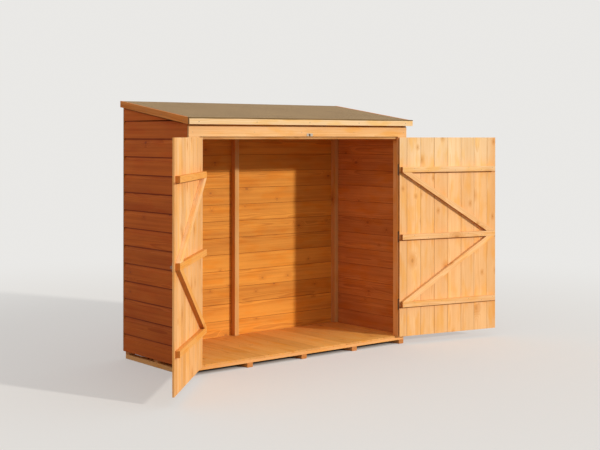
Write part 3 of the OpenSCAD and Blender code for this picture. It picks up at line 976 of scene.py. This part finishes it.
def door(side):
    """A leaf: lapped boards set upright, three ledges, and two braces seated between them."""
    body = side + "_door"
    place = leaf_place(body)
    ledge_finish = LEDGE if side == "left" else DOOR

    def board_light(points):
        """Painted highlight by its height, and none on the edge that closes against the other leaf,
        which stays in shade.
        """
        free = (points - place.origin) @ place.axes[0] < LEAF_EDGE + LEAF_W - DOOR_SPREAD
        return LEAF_LIGHT[side](points[:, 2]) * free

    def timber_light(points):
        """Painted light, more than on the boards, and in full where a timber meets them, which
        lightens its shaded sides.
        """
        proud = ((points - place.origin) @ place.axes[1] - LEAF_IN) / LEDGE_T
        return np.clip(LEAF_LIGHT[side](points[:, 2]) + TIMBER_LIGHT[side] + 1 - proud, 0, 1)

    steps = [
        (foot + rise, dirt_and_shade * share)
        for foot, share in zip(LEDGE_FEET, UNDER_LEDGE_SHADE[side])
        for rise, dirt_and_shade in LEDGE_BAND
    ]
    turns, bands = zip(*steps)
    heights = [np.linspace(0, LEAF_H, 13), turns] + [LEDGE_FEET - down for down in LEDGE_SHADE_DOWN]
    depths = np.unique(np.concatenate(heights))
    boards = Stock()
    last = len(DOOR_JOINTS) - 2
    for k, (a0, a1) in enumerate(pairwise(DOOR_JOINTS)):
        dirt_and_shade = chance.uniform(0.1, 0.85)
        profile = lap_profile(a1 - a0, LEAF_T, k == 0, k == last, DOOR_SPREAD, dirt_and_shade)
        at = Place(place([LEAF_EDGE + a0, LEAF_OUT, 0]), *place.axes)
        tone = LEAF_LIGHT_TONE[side] + chance.uniform(-0.7, 0.7)
        boards.add(moulding(profile, depths, np.interp(depths, turns, bands)), at, tone=tone)
    name, node = side + "_leaf_boards", side + "_door_boards"
    timber(name, boards, DOOR, body, "treated_boards", node, weather_and_light=board_light)
    face = Place(place([0, LEAF_IN, 0]), place.axes[0], place.axes[2], place.axes[1])
    for name, mid in zip(("bottom", "middle", "top"), LEDGE_MID):
        outline = rect(LEDGE_A0, mid - LEDGE_W / 2, LEDGE_A1, mid + LEDGE_W / 2)
        board = block(outline, LEDGE_T, SOFT_SAWN)
        ledge = Stock().add(board, face, "across", tone=LEAF_LIGHT_TONE[side] * 0.5)
        node = f"{side}_{name}_ledge"
        name = node + "_timber"
        timber(name, ledge, ledge_finish, body, "treated_frame", node, weather_and_light=timber_light)
    lower = (LEDGE_MID[0] + LEDGE_W / 2, LEDGE_MID[1] - LEDGE_W / 2)
    upper = (LEDGE_MID[2] - LEDGE_W / 2, LEDGE_MID[1] + LEDGE_W / 2)
    for name, (z0, z1) in (("lower", lower), ("upper", upper)):
        outline = [(LEDGE_A0, z0), (LEDGE_A0 + BRACE_SEAT, z0)]
        outline += [(LEDGE_A1, z1), (LEDGE_A1 - BRACE_SEAT, z1)]
        lean = math.atan2(z1 - z0, LEDGE_A1 - LEDGE_A0 - BRACE_SEAT)
        dirt_and_shade = BRACE_SIDE_SHADE[side, name]
        # A brace without painted shade is lightened and takes the timbers' painted light, so its
        # shaded side reads lit
        tone = LEAF_LIGHT_TONE[side] + (0 if dirt_and_shade else 0.7)
        board = block(outline, LEDGE_T, SOFT_SAWN, dirt_and_shade or 0.0)
        brace = Stock().add(board, face, "across", lean, tone)
        node = f"{side}_{name}_brace"
        finish, weather_and_light_share = (ledge_finish, board_light) if dirt_and_shade else (DOOR, timber_light)
        timber(node + "_timber", brace, finish, body, "treated_frame", node, weather_and_light=weather_and_light_share)


door("left")
door("right")

# Nails and screws ---------------------


NAIL_R, NAIL_RISE, HEAD_SUNK = 0.0021, 0.0006, 0.0003
BIG_NAIL_R, CLOUT_R, CLOUT_RISE, CLOUT_IN, CLOUT_UP = 0.0032, 0.004, 0.0008, 0.0009, 0.008
SCREW = {"radius": 0.0036, "rise": 0.0011, "finish": ZINC, "cross": True}


def heads(name, spots, facing, body, radius=NAIL_R, rise=NAIL_RISE, finish=NAIL, cross=False):
    """Round heads: rings whose height falls off with the square of their radius, over a short
    straight rim. A cross-headed screw has two slots sunk across its middle."""
    spots = np.asarray(spots, float)
    facing = np.broadcast_to(unit(np.asarray(facing, float)), spots.shape)
    around = 16 if cross else 8
    share = np.array([1.0, 1.0, 0.75, 0.5, 0.3] if cross else [1.0, 1.0, 0.6])
    angle = np.arange(around) * 2 * math.pi / around
    flat = share[:, None, None] * np.stack([np.cos(angle), np.sin(angle)], -1)[None]
    height = 1 - 0.6 * share**2
    height[0], height[1] = -1.0, 0.35
    tall = np.broadcast_to(height[:, None], flat.shape[:2]).copy()
    if cross:
        slot = np.min(np.abs(flat), -1) < 0.14
        tall[3:] -= np.where(slot[3:] & (share[3:, None] < 0.6), 0.7, 0.0)
    dome = np.concatenate([flat * radius, tall[..., None] * rise], 2).reshape(-1, 3)
    dome = np.concatenate([dome, [[0, 0, (0.25 if cross else 1.0) * rise]]])
    rings = len(share)
    i = np.arange(around)
    rim, apex = (rings - 1) * around, np.full(around, rings * around)
    crown = np.stack([rim + i, rim + (i + 1) % around, apex], -1)
    shell = ring_quads(rings, around) + crown.tolist() + [i[::-1].tolist()]
    helper = np.where(np.abs(facing[:, 2:]) < 0.9, Z, X)
    side = unit(np.cross(helper, facing))
    up = np.cross(facing, side)
    spin = chance.uniform(0, math.pi, len(spots))[:, None]
    a = side * np.cos(spin) + up * np.sin(spin)
    b = up * np.cos(spin) - side * np.sin(spin)
    axes = np.stack([a, b, facing], 1)
    points = spots[:, None] + np.einsum("kj,nji->nki", dome, axes)
    count = len(dome)
    faces = [[k + n * count for k in f] for n in range(len(spots)) for f in shell]
    thing = to_object(name, points.reshape(-1, 3), faces, finish, math.radians(35))
    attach(thing, body)


NAIL_UP, NAIL_IN, BACK_NAILS = 0.036, 0.022, (-0.886, -0.036, 0.886)
spots, facing = [], []


def nail(place, way):
    """Notes a nail on the shelter, by its place and the way its head looks."""
    spots.append(place)
    facing.append(way)


for z in ROW_Z[:-2] + NAIL_UP:
    for side in (-1, 1):
        nail((side * SIDE_X, FRONT_Y + NAIL_IN, z), (side, 0, 0))
        nail((side * SIDE_X, BACK_IN - NAIL_IN, z), (side, 0, 0))
    for x in BACK_NAILS:
        nail((x, BACK_Y, z), (0, 1, 0))
for x in (-0.886, -0.42, -0.036, 0.42, 0.886):
    nail((x, FACE_Y, HEADER_Z + 0.028), (0, -1, 0))
for side in (-1, 1):
    for z in np.linspace(WALL_FOOT + 0.05, HEADER_Z - 0.04, 6):
        nail((side * 0.897, FACE_Y, z), (0, -1, 0))
heads("shelter_nails", spots, facing, "shelter")

spots, facing = [], []
for side in (-1, 1):
    for y in (-0.374, -0.12, 0.055, 0.35):
        z = roof_z(y) + ROOF_RISE - FASCIA_RISE * 0.55
        nail((side * (high("right_fascia")[0] - HEAD_SUNK), y, z), (side, 0, 0))
for x in (-0.867, -0.43, 0.0, 0.43, 0.867):
    nail((x, FASCIA_FACE, (fascia_lo[2] + fascia_hi[2]) / 2 - 0.004), (0, -1, 0))
for x0, x1 in pairwise(floor_edges):
    for y in (FRONT_Y + 0.014, (FRONT_Y + BACK_IN) / 2, BACK_IN - NAIL_IN):
        nail(((x0 + x1) / 2 + chance.uniform(-0.02, 0.02), y, FLOOR_TOP), (0, 0, 1))
heads("floor_and_fascia_nails", spots, facing, "shelter", BIG_NAIL_R)

felt_back = high("roof_felt")[1]
clout_x = np.linspace(-0.88, 0.88, 13)
clouts = [(x, felt_back - CLOUT_IN, roof_z(felt_back) + CLOUT_UP) for x in clout_x]
heads("felt_clout_nails", clouts, Y, "shelter", CLOUT_R, CLOUT_RISE)

PLATE_T = 0.002
PLATE_FACE, STRAP_FACE = FACE_Y - PLATE_T, LEAF_OUT - PLATE_T
PLATE_SCREWS = ((0.027, -0.026), (0.017, 0.0), (0.027, 0.026))
STRAP_SCREWS, BOLT_SCREWS = (0.040, 0.112, 0.190, 0.264), (0.014, 0.081, 0.148)
BOLT_SIDE, BOLT_IN, TOP_BOLT_IN = 0.0115, 0.004, 0.031
KEEP_SIDE, KEEP_IN = 0.018, 0.012
EDGE_IN, STAGGER = 0.012, 0.008
for side, sign in (("left", -1), ("right", 1)):
    body = side + "_door"
    place = leaf_place(body)
    inward = place.axes[1]
    free_edge = LEAF_EDGE + LEAF_W
    marks = []
    for mid in LEDGE_MID:
        for k, (a0, a1) in enumerate(pairwise(DOOR_JOINTS)):
            a = np.clip((a0 + a1) / 2, LEDGE_A0 + EDGE_IN, LEDGE_A1 - EDGE_IN)
            marks.append((a, LEAF_IN + LEDGE_T, mid + (STAGGER if k % 2 else -STAGGER)))
    heads(side + "_leaf_nails", place(marks), inward, body)
    screws = [(a, STRAP_FACE, mid) for mid in LEDGE_MID for a in STRAP_SCREWS]
    if side == "left":
        a = free_edge - KEEP_IN
        screws += [(a, STRAP_FACE, LEDGE_MID[1] + s * KEEP_SIDE) for s in (-1, 1)]
    else:
        pairs = [(b, s * BOLT_SIDE) for b in BOLT_SCREWS for s in (-1, 1)]
        tip, middle, head = free_edge - BOLT_IN, PINS[body][0] - TOP_BOLT_IN, LEAF_H - BOLT_IN
        screws += [(tip - b, STRAP_FACE, LEDGE_MID[1] + s) for b, s in pairs]
        screws += [(middle + s, STRAP_FACE, head - b) for b, s in pairs]
    heads(side + "_leaf_screws", place(screws), -inward, body, **SCREW)
    plate = [
        (PINS[body][0] + sign * a, PLATE_FACE, LEAF_FOOT + mid + rise)
        for mid in LEDGE_MID
        for a, rise in PLATE_SCREWS
    ]
    heads(side + "_plate_screws", plate, -Y, "shelter", **SCREW)
keep_x, _, keep_z = (low("header_keep") + high("header_keep")) / 2
keep = [(keep_x + s * KEEP_SIDE, PLATE_FACE, keep_z) for s in (-1, 1)]
heads("keep_screws", keep, -Y, "shelter", **SCREW)

# Ironmongery from the CAD -------------

HINGES = ("left_hinge_plates", "right_hinge_plates", "left_hinge_straps", "right_hinge_straps")
BOLTS = ("header_keep", "left_keep", "top_bolt", "middle_bolt")
for finish, names in ((HINGE, HINGES), (ZINC, BOLTS)):
    for name in names:
        data = frame["nodes"][name].data
        data.materials.clear()
        data.materials.append(finish)

# Floor, backdrop and light ------------

BACKDROP = (0.82, 0.81, 0.79)
FLOOR_TINT, FLOOR_BOUNCE = (0.90, 0.88, 0.84), (0.36, 0.33, 0.28)
FLOOR_GLOW, DISC_R = 0.35, 30.0


def studio_floor():
    """A wide pale disc that takes the shadow, in full near the store, and fades into the backdrop
    far from it. Under the store its colour is darkened, a painted shadow, and what it throws back
    comes from a darker colour."""
    f = Finish("studio_floor")
    f.shader.inputs["Roughness"].default_value = 0.95
    f.shader.inputs["Specular IOR Level"].default_value = 0.0
    here = f.node("TexCoord", output="Object")
    far = f.node("VectorMath", {"operation": "LENGTH"}, {0: here}, "Value")
    over, back, _ = f.parts(here)
    beside = (over.math("ABSOLUTE") - SIDE_X).math("MAXIMUM", back.math("ABSOLUTE") - BACK_Y)
    seen = f.seen()
    plain = f.blend(seen, FLOOR_BOUNCE, FLOOR_TINT)
    # Painted shadow: the floor's colour falls to a tenth under the store, and its glow is kept off
    # there
    dark = beside.between(-0.10, -0.05) * 0.9 + 0.1
    f.feed(f.shader.inputs["Base Color"], f.dimmed(plain, dark))
    glow = f.node("Emission", None, {"Color": BACKDROP, "Strength": 1.0})
    fade = (far.between(2.0, 6.5) * (1 - FLOOR_GLOW) + FLOOR_GLOW) * beside.between(-0.05, 0.0)
    surface = Wire(f, f.shader.outputs[0])
    mix = f.node("MixShader", None, {0: fade * seen, 1: surface, 2: glow})
    output = next(n for n in f.tree.nodes if n.type == "OUTPUT_MATERIAL")
    f.feed(output.inputs["Surface"], mix)
    turn = np.linspace(0, 2 * math.pi, 97)[:-1]
    ring = [(DISC_R * math.cos(t), DISC_R * math.sin(t), 0.0) for t in turn]
    disc = to_object("studio_floor", ring, [list(range(len(ring)))], f.material)


studio_floor()

world = bpy.data.worlds.new("studio")
scene.world = world
world.use_nodes = True
world.node_tree.nodes.clear()
studio = Nodes(world.node_tree)
AMBIENT, AMBIENT_LEVEL = (0.98, 0.965, 0.97), 0.60
ambient = studio.node("Background", None, {"Color": AMBIENT, "Strength": AMBIENT_LEVEL})
backdrop = studio.node("Background", None, {"Color": BACKDROP})
mixed = studio.node("MixShader", None, {0: studio.seen(), 1: ambient, 2: backdrop})
studio.node("OutputWorld", None, {"Surface": mixed})

KEY_TURN, KEY_HEIGHT = math.radians(22.0), math.radians(16.0)
lamp = bpy.data.lights.new("key", "SUN")
lamp.energy = 2.4
lamp.angle = math.radians(3.0)
lamp.color = (1.0, 0.97, 0.92)
key = bpy.data.objects.new("key", lamp)
scene.collection.objects.link(key)
key.rotation_mode = "XYZ"
key.rotation_euler = (math.pi / 2 - KEY_HEIGHT, 0, KEY_TURN)

scene.view_settings.view_transform = "Standard"

bpy.context.view_layer.update()
